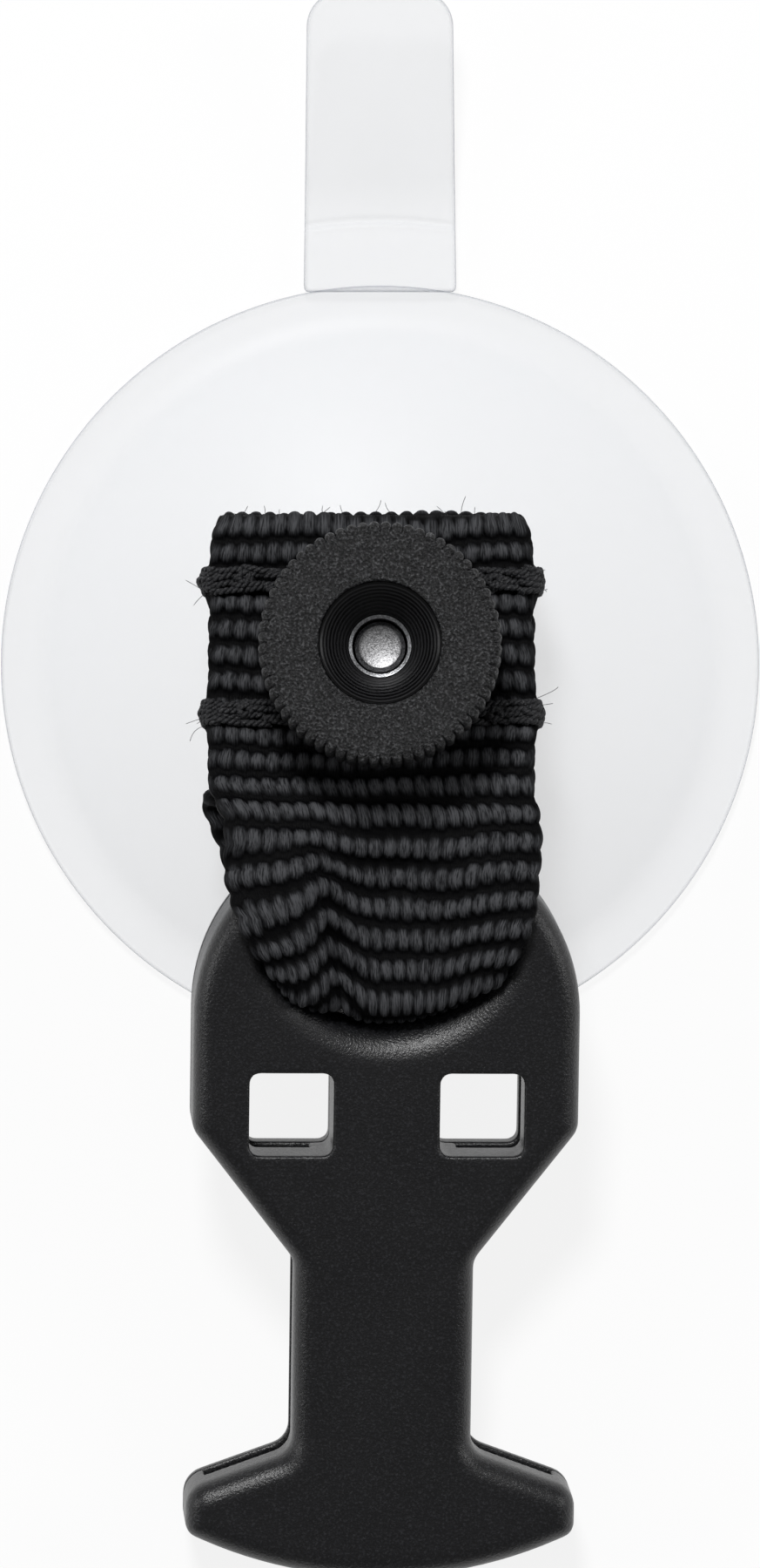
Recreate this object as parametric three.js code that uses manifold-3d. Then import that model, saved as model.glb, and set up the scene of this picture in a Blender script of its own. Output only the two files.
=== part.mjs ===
// A suction-cup strap anchor: a clear cup with a pull tab, a webbing loop clamped on the cup's stud by a
// knurled thumb nut, and a two-shell T-shaped clip hanging in the loop. Millimetres, +Z up. The origin is the
// middle of the footprint, on the plane that the cup and the clip lie on.

import * as THREE from "three";
import { mergeVertices } from "three/addons/utils/BufferGeometryUtils.js";
import Module from "manifold-3d";

const wasm = await Module();
wasm.setup();

// ---------- Driving dimensions ----------

const fitGap = 0.1; // running and seated fits between hard pieces
const softGap = 0.3; // between a soft piece and what it touches

// Suction cup, moulded in soft clear PVC
const cupRadius = 30;
const sealRadius = 27; // inner edge of the flat sealing lip
const lipThickness = 1.1;
const rootWall = 2.6; // wall where the dome meets the boss
const cavityHeight = 6;
const bossRadius = 8.5;
const bossTop = 12.5;

// Pull tab on the cup's rim
const tabRootWidth = 12.1;
const tabTipWidth = 11.4;
const tabReach = 22.4; // from the rim to the tip, seen from above
const tabThickness = 1.3;
const tabFlat = 4.6; // flat stretch before it bends up
const tabBendRadius = 12;
const tabRise = THREE.MathUtils.degToRad(18);
const tabTipRadius = 2.8;

// Stud moulded into the boss, M4
const studRadius = 2;
const studEndChamfer = 0.35;
const studHeadRadius = 5.5;
const studHeadHeight = 1.8;
const studHeadBase = 8.6; // height of the head's underside
const studLength = 12.5; // from the head's underside to the end

// Webbing, folded into a loop and sewn flat round the stud
const webWidth = 25;
const webThickness = 1.3;
const webLayersSewn = 3;
const sewnAbove = 10.8; // from the stud to the top fold
const sewnBelow = 9.6; // from the stud to where the loop opens
const stitchOffset = 5.3; // each stitch row to the stud
const stitchWidth = 1.2;
const threadThickness = 0.45;
const frontLayerShift = 0.7; // the front layer of the loop leans to +X
const slotPull = 0.5; // the strap lies nearer the slot's lower side
const rearLayerShift = -1.5; // and the rear layer to -X

// Thumb nut with a metal threaded insert
const nutRadius = 9.5;
const nutTeeth = 64;
const nutToothDepth = 0.32;
const nutHeight = 8.6;
const nutCollarRadius = 4.3;
const nutCollarHeight = 1.5;
const nutChamfer = 0.45;
const recessRadius = 4.65;
const recessStepRadius = 3.5;
const recessStepDepth = 1.6;
const recessDepth = 4;
const recessFloorRadius = 2.5;
const insertRadius = 3.1;
const insertChamfer = 0.25;

// T-shaped clip: u across, v along towards the stud, w out of its front face, v = 0 at the arch's centre
const headHalfWidth = 15;
const archRadius = 14.4;
const shoulderV = -8.4;
const neckHalfWidth = 7;
const neckTopV = -18.7;
const neckBottomV = -33.9;
const wingHalfWidth = 15.2;
const wingTopV = -36.9;
const wingBottomV = -40.4;
const endApexV = -47.2;
const endRadius = 34;
const cornerRadius = 1.8;
const wingTipRadius = 2;
const wingHeelRadius = 1.2;
const clipThickness = 8;
const rearPlateThickness = 1.85;
const frontRound = 1.8; // edge rounding of the front face
const rearRound = 1.2;
const clipWall = 1.8;
const windowSize = 6.5;
const windowRadius = 0.6;
const windowU = 7.4;
const windowV = -7;
const windowWall = 1.2;
const gripGap = 2; // height of the gap open along the neck and the wings
const gripDepth = 0.35; // how far the core stands back from the neck's sides
const gripTopV = -11;
const gripReach = 13.6; // how far out along the wings the gap runs
const slotCentreV = 9;
const slotRadius = 7.2; // middle of the curved strap slot
const slotHalfWidth = 2;
const slotHalfAngle = THREE.MathUtils.degToRad(62);
const slotFlare = 3; // rounding of the slot's mouth on the front
const slotRearFlare = 1.2;
const saddleV = 11; // shallow saddle that the strap lies in
const saddleHalfWidth = 12;
const saddleHalfLength = 13.7;
const saddleDepth = 3;

// Solid cores between the two shells, where they are joined: [least v, greatest v]
const coreHalfWidth = 2.8;
const upperCore = [-14.5, -2];
const lowerCore = [-43.5, -34.5];

// How the clip lies: its tail rests on the surface and its head is held up by the strap
const clipDroop = THREE.MathUtils.degToRad(11.5);
const clipRoll = THREE.MathUtils.degToRad(3.5);
const clipSkew = THREE.MathUtils.degToRad(-0.8);
const freeWebbing = 3.7; // between the sewn part and the clip's arch
const clipShift = 0.4;
const restGap = 0.1; // under the tail

// ---------- Sizes that follow ----------

const clipHalf = clipThickness / 2;
const partingW = -clipHalf + rearPlateThickness; // front of the rear plate
const shellBaseW = partingW + fitGap;
const gripTopW = shellBaseW + gripGap;
const sewnBase = bossTop + softGap + threadThickness; // the stitches pass underneath
const sewnThickness = webThickness * webLayersSewn;
const sewnTop = sewnBase + sewnThickness;
const nutBase = sewnTop + softGap;
const halfWidth = webWidth / 2;
const clipArchY = -(sewnBelow + freeWebbing + headHalfWidth); // arch centre, from the stud

// ---------- Helpers ----------

function solidOf(geometry) {
  const bare = geometry.index ? geometry.toNonIndexed() : geometry.clone();
  bare.deleteAttribute("normal");
  bare.deleteAttribute("uv");
  const merged = mergeVertices(bare, 1e-4);
  const made = new wasm.Manifold(
    new wasm.Mesh({
      numProp: 3,
      vertProperties: new Float32Array(merged.attributes.position.array),
      triVerts: new Uint32Array(merged.index.array),
    }),
  );
  return made;
}

function geometryOf(solid) {
  const mesh = solid.getMesh();
  return new THREE.BufferGeometry()
    .setAttribute("position", new THREE.BufferAttribute(new Float32Array(mesh.vertProperties), 3))
    .setIndex(new THREE.BufferAttribute(new Uint32Array(mesh.triVerts), 1));
}

function piece(name, solid, material) {
  const geometry = geometryOf(solid);
  geometry.computeVertexNormals();
  const mesh = new THREE.Mesh(geometry, material);
  mesh.name = name;
  return mesh;
}

// Solid of revolution about +Z from [radius, height] points that run from the axis, out and up, back to it.
function turned(points, segments = 72) {
  const profile = points.map(([r, z]) => new THREE.Vector2(r, z));
  return solidOf(new THREE.LatheGeometry(profile, segments).rotateX(Math.PI / 2));
}

function rod(radius, z0, z1, segments = 48) {
  const points = [
    [0, z0],
    [radius, z0],
    [radius, z1],
    [0, z1],
  ];
  return turned(points, segments);
}

function block(x0, x1, y0, y1, z0, z1) {
  const box = new THREE.BoxGeometry(x1 - x0, y1 - y0, z1 - z0);
  return solidOf(box.translate((x0 + x1) / 2, (y0 + y1) / 2, (z0 + z1) / 2));
}

function arc(cx, cy, radius, from, to, steps) {
  const points = [];
  for (let i = 0; i <= steps; i++) {
    const a = from + ((to - from) * i) / steps;
    points.push(new THREE.Vector2(cx + radius * Math.cos(a), cy + radius * Math.sin(a)));
  }
  return points;
}

// Outline of a polygon with rounded corners [x, y, radius, steps], counter-clockwise, moved inwards by inset.
function roundedOutline(corners, inset = 0) {
  const points = [];
  const count = corners.length;
  const leastRadius = 0.05;
  for (let i = 0; i < count; i++) {
    const [before, here, after] = [corners[(i + count - 1) % count], corners[i], corners[(i + 1) % count]];
    const d0 = new THREE.Vector2(here[0] - before[0], here[1] - before[1]).normalize();
    const d1 = new THREE.Vector2(after[0] - here[0], after[1] - here[1]).normalize();
    const turn = Math.atan2(d0.cross(d1), d0.dot(d1));
    const n0 = new THREE.Vector2(-d0.y, d0.x);
    const n1 = new THREE.Vector2(-d1.y, d1.x);
    const reach = inset / (1 + n0.dot(n1));
    const tip = new THREE.Vector2(here[0], here[1]).addScaledVector(n0.clone().add(n1), reach);
    const convex = turn > 0;
    const radius = Math.max(here[2] + (convex ? -inset : inset), leastRadius);
    const back = radius * Math.tan(Math.abs(turn) / 2);
    const centre = tip
      .clone()
      .addScaledVector(d0, -back)
      .addScaledVector(n0, convex ? radius : -radius);
    const from = Math.atan2(convex ? -n0.y : n0.y, convex ? -n0.x : n0.x);
    points.push(...arc(centre.x, centre.y, radius, from, from + turn, here[3]));
  }
  return points;
}

// Closed solid through outlines of the same count of points, each at its own height.
function loft(levels) {
  const count = levels[0].points.length;
  const vertices = levels.flatMap(({ points, w }) => points.map((p) => [p.x, p.y, w]));
  const faces = [];
  for (let k = 0; k + 1 < levels.length; k++) {
    for (let i = 0; i < count; i++) {
      const [a, b] = [k * count + i, k * count + ((i + 1) % count)];
      faces.push([a, b, b + count], [a, b + count, a + count]);
    }
  }
  const last = (levels.length - 1) * count;
  THREE.ShapeUtils.triangulateShape(levels[0].points, []).forEach(([a, b, c]) => faces.push([c, b, a]));
  THREE.ShapeUtils.triangulateShape(levels.at(-1).points, []).forEach(([a, b, c]) =>
    faces.push([last + a, last + b, last + c]),
  );
  return solidOf(facesGeometry(vertices, faces));
}

function facesGeometry(vertices, faces) {
  const positions = faces.flat().flatMap((i) => vertices[i]);
  return new THREE.BufferGeometry().setAttribute("position", new THREE.Float32BufferAttribute(positions, 3));
}

function prism(points, w0, w1) {
  return loft([
    { points, w: w0 },
    { points, w: w1 },
  ]);
}

// ---------- Materials ----------

const clearPvc = new THREE.MeshStandardMaterial({
  color: 0xeceef2,
  roughness: 0.18,
  metalness: 0,
  transparent: true,
  opacity: 0.4,
});
const zincSteel = new THREE.MeshStandardMaterial({ color: 0xb9bcc0, roughness: 0.35, metalness: 1 });
const grainedNylon = new THREE.MeshStandardMaterial({ color: 0x1d1e20, roughness: 0.62, metalness: 0 });
const satinNylon = new THREE.MeshStandardMaterial({ color: 0x202124, roughness: 0.5, metalness: 0 });
const webbing = new THREE.MeshStandardMaterial({ color: 0x17181a, roughness: 0.8, metalness: 0 });
const thread = new THREE.MeshStandardMaterial({ color: 0x141516, roughness: 0.7, metalness: 0 });

// ---------- Suction cup ----------

const underside = (r) => cavityHeight * Math.max(0, 1 - (r / sealRadius) ** 2);
const cupWall = (r) => lipThickness + (rootWall - lipThickness) * (1 - r / cupRadius);
const cupTop = (r) => underside(r) + cupWall(r);

function suctionCup() {
  const steps = 12;
  const profile = [];
  for (let i = 0; i <= steps; i++) {
    const r = (sealRadius * i) / steps;
    profile.push([r, underside(r)]);
  }
  profile.push([cupRadius, 0]);
  for (let i = 0; i <= steps; i++) {
    const r = cupRadius + ((bossRadius - cupRadius) * i) / steps;
    profile.push([r, cupTop(r)]);
  }
  profile.push([bossRadius, bossTop - 0.6], [bossRadius - 0.6, bossTop], [0, bossTop]);
  const pocket = rod(studHeadRadius + fitGap, studHeadBase - fitGap, studHeadBase + studHeadHeight + fitGap);
  const shankHole = rod(studRadius + fitGap, studHeadBase, bossTop + 1);
  return turned(profile, 80).subtract(pocket).subtract(shankHole);
}

// The tab is a bent strip cut to its outline. Its root follows the rim of the cup.
function pullTab() {
  const rootY = cupRadius - 1;
  const bendY = cupRadius + tabFlat;
  const side = [];
  const bendCentre = tabThickness + tabBendRadius;
  const bendSteps = 6;
  const straight = (tabReach - tabFlat - tabBendRadius * Math.sin(tabRise)) / Math.cos(tabRise) + 2;
  const strip = (radius, z) => {
    const line = [new THREE.Vector2(rootY, z)];
    for (let i = 0; i <= bendSteps; i++) {
      const a = (tabRise * i) / bendSteps;
      line.push(new THREE.Vector2(bendY + radius * Math.sin(a), bendCentre - radius * Math.cos(a)));
    }
    const end = line.at(-1);
    line.push(new THREE.Vector2(end.x + straight * Math.cos(tabRise), end.y + straight * Math.sin(tabRise)));
    return line;
  };
  const lift = restGap;
  side.push(...strip(bendCentre - lift, lift), ...strip(tabBendRadius, tabThickness).reverse());
  const across = tabRootWidth + 2;
  const strap = prism(side, -across / 2, across / 2);
  // The side outline is drawn as (y, z) and pushed along x.
  const upright = strap.rotate([90, 0, 90]);
  const tipY = cupRadius + tabReach;
  const outline = roundedOutline([
    [-tabTipWidth / 2, tipY, tabTipRadius, 6],
    [-tabRootWidth / 2, rootY, 0.05, 1],
    [tabRootWidth / 2, rootY, 0.05, 1],
    [tabTipWidth / 2, tipY, tabTipRadius, 6],
  ]);
  const plan = prism(outline, -1, tabReach);
  return upright.intersect(plan).subtract(rod(cupRadius + softGap, -2, bossTop, 80));
}

// ---------- Stud ----------

const studTop = studHeadBase + studLength;

function stud() {
  return turned([
    [0, studHeadBase],
    [studHeadRadius, studHeadBase],
    [studHeadRadius, studHeadBase + studHeadHeight],
    [studRadius, studHeadBase + studHeadHeight],
    [studRadius, studTop - studEndChamfer],
    [studRadius - studEndChamfer, studTop],
    [0, studTop],
  ]);
}

// ---------- Thumb nut ----------

const nutTop = nutBase + nutHeight;
const recessFloor = nutTop - recessDepth;

function nutInsert() {
  const bore = studRadius + fitGap;
  return turned([
    [bore, nutBase],
    [insertRadius, nutBase],
    [insertRadius, recessFloor - fitGap],
    [bore + insertChamfer, recessFloor - fitGap],
    [bore, recessFloor - fitGap - insertChamfer],
    [bore, nutBase],
  ]);
}

function thumbNut() {
  const pointsPerTooth = 4;
  const rim = [];
  for (let i = 0; i < nutTeeth * pointsPerTooth; i++) {
    const a = (2 * Math.PI * i) / (nutTeeth * pointsPerTooth);
    const bump = Math.abs(Math.cos((nutTeeth / 2) * a));
    const r = nutRadius - nutToothDepth * (1 - bump);
    rim.push(new THREE.Vector2(r * Math.cos(a), r * Math.sin(a)));
  }
  const flangeBase = nutBase + nutCollarHeight;
  const limit = turned([
    [0, nutBase],
    [nutCollarRadius, nutBase],
    [nutCollarRadius, flangeBase],
    [nutRadius - nutChamfer, flangeBase],
    [nutRadius + 0.02, flangeBase + nutChamfer],
    [nutRadius + 0.02, nutTop - nutChamfer],
    [nutRadius - nutChamfer, nutTop],
    [0, nutTop],
  ]);
  const recess = turned([
    [0, recessFloor],
    [recessFloorRadius, recessFloor],
    [recessStepRadius, nutTop - recessStepDepth],
    [recessRadius, nutTop],
    [recessRadius, nutTop + 1],
    [0, nutTop + 1],
  ]);
  const insertBore = rod(insertRadius + fitGap, nutBase - 1, recessFloor);
  return prism(rim, nutBase, nutTop).intersect(limit).subtract(recess).subtract(insertBore);
}

// ---------- Clip ----------

const bigArc = 14;
const smallArc = 4;
const rightSide = [
  [wingHalfWidth, wingBottomV, wingHeelRadius, smallArc],
  [wingHalfWidth, wingTopV, wingTipRadius, smallArc],
  [neckHalfWidth, neckBottomV, cornerRadius, smallArc],
  [neckHalfWidth, neckTopV, cornerRadius, smallArc],
  [headHalfWidth, shoulderV, cornerRadius, smallArc],
  [headHalfWidth, headHalfWidth, archRadius, bigArc],
];
const leftSide = rightSide.map(([u, v, r, n]) => [-u, v, r, n]).reverse();
const clipCorners = [[0, endApexV, endRadius, bigArc], ...rightSide, ...leftSide];

const endDrop = endRadius / Math.cos(Math.atan2(wingBottomV - endApexV, wingHalfWidth)) - endRadius;
const tailV = endApexV + endDrop; // the clip's far end

// Quarter-round inset at a height below the edge of a face.
const roundInset = (radius, below) => radius - Math.sqrt(Math.max(0, radius ** 2 - (radius - below) ** 2));

function edgeLevels(outline, round, baseW, faceW, steps = 4) {
  const towards = Math.sign(faceW - baseW);
  const levels = [{ points: outline(0), w: baseW }];
  for (let i = 0; i <= steps; i++) {
    const below = round * (1 - Math.sin((i / steps) * (Math.PI / 2)));
    levels.push({ points: outline(roundInset(round, below)), w: faceW - towards * below });
  }
  return towards > 0 ? levels : levels.reverse();
}

const clipOutline = (inset) => roundedOutline(clipCorners, inset);

function windowOutline(side, grow = 0) {
  const half = windowSize / 2 + grow;
  const radius = windowRadius + grow / 2;
  const [u, v] = [side * windowU, windowV];
  return roundedOutline([
    [u - half, v - half, radius, 3],
    [u + half, v - half, radius, 3],
    [u + half, v + half, radius, 3],
    [u - half, v + half, radius, 3],
  ]);
}

// The strap slot is a curved slot with round ends, lowest in the middle.
function slotOutline(grow = 0) {
  const down = -Math.PI / 2;
  const [from, to] = [down - slotHalfAngle, down + slotHalfAngle];
  const end = (a) => [slotRadius * Math.cos(a), slotCentreV + slotRadius * Math.sin(a)];
  const width = slotHalfWidth + grow;
  return [
    ...arc(0, slotCentreV, slotRadius + width, from, to, 12),
    ...arc(...end(to), width, to, to + Math.PI, 6).slice(1, -1),
    ...arc(0, slotCentreV, slotRadius - width, to, from, 12),
    ...arc(...end(from), width, from + Math.PI, from + 2 * Math.PI, 6).slice(1, -1),
  ];
}

function slotCut() {
  const overrun = 1;
  const levels = [{ points: slotOutline(slotRearFlare), w: -clipHalf - overrun }];
  levels.push({ points: slotOutline(slotRearFlare), w: -clipHalf });
  levels.push({ points: slotOutline(0), w: -clipHalf + slotRearFlare });
  const steps = 5;
  for (let i = 0; i <= steps; i++) {
    const a = (i / steps) * (Math.PI / 2);
    const grow = slotFlare * (1 - Math.cos(a));
    levels.push({ points: slotOutline(grow), w: clipHalf - slotFlare * (1 - Math.sin(a)) });
  }
  levels.push({ points: slotOutline(slotFlare), w: clipHalf + overrun });
  return loft(levels);
}

// Depth of the saddle under the front face at (u, v).
function saddle(u, v) {
  const r = Math.hypot(u / saddleHalfWidth, (v - saddleV) / saddleHalfLength);
  return r < 1 ? (saddleDepth * (1 + Math.cos(Math.PI * r))) / 2 : 0;
}

function saddleCut() {
  const steps = 8;
  const profile = [];
  for (let i = 0; i <= steps; i++) {
    const r = i / steps;
    profile.push([r, (-saddleDepth * (1 + Math.cos(Math.PI * r))) / 2]);
  }
  profile.push([1, 1], [0, 1]);
  return turned(profile, 56)
    .scale([saddleHalfWidth, saddleHalfLength, 1])
    .translate([0, saddleV, clipHalf]);
}

function windowCuts() {
  const reach = clipThickness;
  return prism(windowOutline(1), -reach, reach).add(prism(windowOutline(-1), -reach, reach));
}

function clipFrontShell() {
  const body = loft(edgeLevels(clipOutline, frontRound, shellBaseW, clipHalf));
  const ceilingW = clipHalf - clipWall;
  const coreHalf = neckHalfWidth - gripDepth;
  const below = shellBaseW - 1;

  // The hollow behind the front skin, with what stands in it.
  const pocketTopV = slotCentreV - slotRadius - slotHalfWidth - slotFlare;
  let pocket = prism(clipOutline(clipWall), below, ceilingW).intersect(
    block(-wingHalfWidth, wingHalfWidth, tailV, pocketTopV, below, clipHalf),
  );
  for (const side of [1, -1]) {
    pocket = pocket.subtract(prism(windowOutline(side, windowWall), gripTopW, clipHalf));
    const [near, far] = [neckHalfWidth - clipWall, coreHalf].map((u) => u * side).sort((a, b) => a - b);
    const ribTop = windowV - windowSize / 2 - windowWall / 2;
    pocket = pocket.subtract(block(near, far, neckTopV - 1, ribTop, below, clipHalf));
  }
  for (const [low, high] of [upperCore, lowerCore]) {
    pocket = pocket.subtract(block(-coreHalfWidth, coreHalfWidth, low, high, below, clipHalf));
  }

  let shell = body.subtract(pocket).subtract(windowCuts()).subtract(slotCut()).subtract(saddleCut());
  for (const side of [1, -1]) {
    const [u0, u1] = [coreHalf, gripReach].map((u) => u * side).sort((a, b) => a - b);
    shell = shell.subtract(block(u0, u1, wingTopV - 1.2, gripTopV, below, gripTopW));
  }
  return shell;
}

function clipRearPlate() {
  const plate = loft(edgeLevels(clipOutline, rearRound, partingW, -clipHalf, 3));
  return plate.subtract(windowCuts()).subtract(slotCut());
}

// ---------- Where the clip lies ----------

const clipTurn = new THREE.Matrix4()
  .makeRotationX(clipDroop)
  .multiply(new THREE.Matrix4().makeRotationY(clipRoll))
  .multiply(new THREE.Matrix4().makeRotationZ(clipSkew));

// Height of the arch's centre that leaves the lowest corner of the tail just off the surface.
function archHeight() {
  const rear = clipOutline(rearRound).map((p) => new THREE.Vector3(p.x, p.y, -clipHalf));
  const rim = clipOutline(0).map((p) => new THREE.Vector3(p.x, p.y, -clipHalf + rearRound));
  const lowest = Math.min(...[...rear, ...rim].map((p) => p.applyMatrix4(clipTurn).z));
  return restGap - lowest;
}

const clipPlace = new THREE.Vector3(clipShift, clipArchY, archHeight());
const clipMatrix = new THREE.Matrix4().makeTranslation(clipPlace).multiply(clipTurn);
const onClip = (u, v, w) => new THREE.Vector3(u, v, w).applyMatrix4(clipMatrix);

// ---------- Webbing ----------

function strapAnchor() {
  const foldRadius = sewnThickness / 2;
  const foldY = sewnAbove - foldRadius;
  const middle = sewnBase + foldRadius;
  const fold = arc(foldY, middle, foldRadius, -Math.PI / 2, Math.PI / 2, 8);
  const side = [new THREE.Vector2(-sewnBelow, sewnBase), ...fold, new THREE.Vector2(-sewnBelow, sewnTop)];
  const block3 = prism(side, -halfWidth, halfWidth).rotate([90, 0, 90]);
  return block3.subtract(rod(studRadius + softGap, sewnBase - 1, sewnTop + 1, 32));
}

// A stitch row is a band of thread that runs over, round the edges of and under the sewn webbing.
function stitchRow(y) {
  const [inner, outer] = [softGap / 2, softGap / 2 + threadThickness];
  const ring = (grow) =>
    block(
      -halfWidth - grow,
      halfWidth + grow,
      y - stitchWidth / 2,
      y + stitchWidth / 2,
      sewnBase - grow,
      sewnTop + grow,
    );
  const core = block(
    -halfWidth - inner,
    halfWidth + inner,
    y - stitchWidth,
    y + stitchWidth,
    sewnBase - inner,
    sewnTop + inner,
  );
  return ring(outer).subtract(core);
}

// Middle of the webbing across the loop, station by station: over the clip's arch, through its slot and back.
function loopStations(t) {
  const lie = webThickness / 2 + softGap; // middle of the webbing above what it lies on
  const startY = -sewnBelow - softGap;
  const straightRun = 1.2;
  const frontU = (share) => halfWidth * share * t + frontLayerShift;
  const rearU = (share) => halfWidth * share * t + rearLayerShift;
  const angle = slotHalfAngle * 0.93 * t;
  const slotLine = slotRadius + slotPull;
  const inSlot = [slotLine * Math.sin(angle), slotCentreV - slotLine * Math.cos(angle)];
  const front = (u, v) => onClip(u, v, clipHalf - saddle(u, v) + lie + softGap);
  const nearU = (share) => inSlot[0] * (1 - share) + halfWidth * t * share;
  const nearV = (share, v) => inSlot[1] * (1 - share) + v * share;
  return [
    new THREE.Vector3(halfWidth * t, startY, sewnTop - webThickness / 2),
    new THREE.Vector3(halfWidth * t, startY - straightRun, sewnTop - webThickness / 2),
    onClip(frontU(0.99), headHalfWidth + 1.2, clipHalf - saddle(frontU(0.99), headHalfWidth) + lie - 0.2),
    front(frontU(0.97), headHalfWidth - 3.5),
    front(nearU(0.75) + frontLayerShift / 2, nearV(0.75, 8.2)),
    onClip(nearU(0.3), nearV(0.2, 3), clipHalf - saddle(0, 1.5) + lie * 0.4),
    onClip(...inSlot, 0.6),
    onClip(...inSlot, -clipHalf + 1),
    onClip(nearU(0.3), nearV(0.3, 4.2), -clipHalf - lie),
    onClip(nearU(0.8) + rearLayerShift / 2, nearV(0.8, 8.6), -clipHalf - lie),
    onClip(rearU(0.98), headHalfWidth - 3, -clipHalf - lie),
    onClip(rearU(0.99), headHalfWidth + 1, -clipHalf - lie + 0.3),
    new THREE.Vector3(halfWidth * t, startY - straightRun, sewnBase + webThickness / 2),
    new THREE.Vector3(halfWidth * t, startY, sewnBase + webThickness / 2),
  ];
}

function strapLoop() {
  const [along, across] = [44, 10];
  const rows = [];
  for (let j = 0; j <= across; j++) {
    const t = (2 * j) / across - 1;
    rows.push(new THREE.CatmullRomCurve3(loopStations(t), false, "centripetal").getPoints(along));
  }
  const middle = (i, j) => rows[j][i];
  const normal = (i, j) => {
    const ds = middle(Math.min(i + 1, along), j).clone().sub(middle(Math.max(i - 1, 0), j));
    const dt = middle(i, Math.min(j + 1, across)).clone().sub(middle(i, Math.max(j - 1, 0)));
    return dt.cross(ds).normalize();
  };
  const vertices = [];
  const index = (i, j, layer) => (i * (across + 1) + j) * 2 + layer;
  for (let i = 0; i <= along; i++) {
    for (let j = 0; j <= across; j++) {
      for (const side of [0.5, -0.5]) {
        vertices.push(middle(i, j).clone().addScaledVector(normal(i, j), side * webThickness).toArray());
      }
    }
  }
  const faces = [];
  const quad = (a, b, c, d) => faces.push([a, b, c], [a, c, d]);
  for (let i = 0; i < along; i++) {
    for (let j = 0; j < across; j++) {
      quad(index(i, j, 0), index(i, j + 1, 0), index(i + 1, j + 1, 0), index(i + 1, j, 0));
      quad(index(i, j, 1), index(i + 1, j, 1), index(i + 1, j + 1, 1), index(i, j + 1, 1));
    }
    quad(index(i, 0, 0), index(i + 1, 0, 0), index(i + 1, 0, 1), index(i, 0, 1));
    quad(index(i, across, 0), index(i, across, 1), index(i + 1, across, 1), index(i + 1, across, 0));
  }
  for (let j = 0; j < across; j++) {
    quad(index(0, j, 0), index(0, j, 1), index(0, j + 1, 1), index(0, j + 1, 0));
    quad(index(along, j, 0), index(along, j + 1, 0), index(along, j + 1, 1), index(along, j, 1));
  }
  return solidOf(facesGeometry(vertices, faces));
}

// ---------- Assembly ----------

const clip = new THREE.Group();
clip.add(
  piece("clip_front_shell", clipFrontShell(), grainedNylon),
  piece("clip_rear_plate", clipRearPlate(), grainedNylon),
);
clip.applyMatrix4(clipMatrix);

const anchor = new THREE.Group();
anchor.add(
  piece("suction_cup", suctionCup(), clearPvc),
  piece("pull_tab", pullTab(), clearPvc),
  piece("stud", stud(), zincSteel),
  piece("nut_insert", nutInsert(), zincSteel),
  piece("thumb_nut", thumbNut(), satinNylon),
  piece("strap_anchor", strapAnchor(), webbing),
  piece("stitch_row_upper", stitchRow(stitchOffset), thread),
  piece("stitch_row_lower", stitchRow(-stitchOffset), thread),
  piece("strap_loop", strapLoop(), webbing),
  clip,
);

// The origin sits midway between the tab's tip and the clip's tail, and midway across.
const spread = new THREE.Box3().setFromObject(anchor, true);
anchor.position.set(-(spread.min.x + spread.max.x) / 2, -(spread.min.y + spread.max.y) / 2, 0);

export default anchor;
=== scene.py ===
import math
import bpy
import numpy as np
from mathutils import Matrix, Vector


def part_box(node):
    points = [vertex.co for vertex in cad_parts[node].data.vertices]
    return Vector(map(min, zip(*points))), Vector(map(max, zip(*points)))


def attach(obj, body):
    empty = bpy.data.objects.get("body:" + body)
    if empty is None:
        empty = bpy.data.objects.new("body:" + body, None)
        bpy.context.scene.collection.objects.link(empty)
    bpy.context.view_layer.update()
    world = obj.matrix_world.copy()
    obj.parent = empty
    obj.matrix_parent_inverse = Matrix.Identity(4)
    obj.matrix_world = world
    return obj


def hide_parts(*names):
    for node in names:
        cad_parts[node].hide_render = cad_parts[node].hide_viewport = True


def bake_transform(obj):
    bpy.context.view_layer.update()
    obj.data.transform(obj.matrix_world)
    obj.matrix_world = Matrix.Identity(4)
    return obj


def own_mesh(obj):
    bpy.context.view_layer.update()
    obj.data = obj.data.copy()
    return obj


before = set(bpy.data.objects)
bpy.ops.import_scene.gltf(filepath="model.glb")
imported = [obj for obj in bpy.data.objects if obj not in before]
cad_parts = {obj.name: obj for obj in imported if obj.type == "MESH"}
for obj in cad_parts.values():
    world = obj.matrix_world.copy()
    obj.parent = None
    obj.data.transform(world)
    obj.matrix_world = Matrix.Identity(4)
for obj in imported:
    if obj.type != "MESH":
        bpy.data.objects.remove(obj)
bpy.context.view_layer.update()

mm = 0.001

# Where the CAD puts the stud, the sewn webbing, the nut and the lip, in millimetres.
studLow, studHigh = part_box("stud")
studX = (studLow.x + studHigh.x) / 2 / mm
studY = (studLow.y + studHigh.y) / 2 / mm
studEnd = studHigh.z / mm
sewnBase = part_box("strap_anchor")[0].z / mm
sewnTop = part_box("strap_anchor")[1].z / mm
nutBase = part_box("thumb_nut")[0].z / mm
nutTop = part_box("thumb_nut")[1].z / mm
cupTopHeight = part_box("suction_cup")[1].z / mm

rng = np.random.default_rng(7)


def deselectAll():
    if bpy.context.object and bpy.context.object.mode != "OBJECT":
        bpy.ops.object.mode_set(mode="OBJECT")
    bpy.ops.object.select_all(action="DESELECT")


def selectOnly(obj):
    deselectAll()
    obj.select_set(True)
    bpy.context.view_layer.objects.active = obj


def pieceFrom(name, points, faces):
    # a mesh piece from points in millimetres
    mesh = bpy.data.meshes.new(name)
    mesh.from_pydata((np.asarray(points, float) * mm).tolist(), [], faces)
    mesh.update()
    obj = bpy.data.objects.new(name, mesh)
    bpy.context.collection.objects.link(obj)
    return obj


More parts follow.
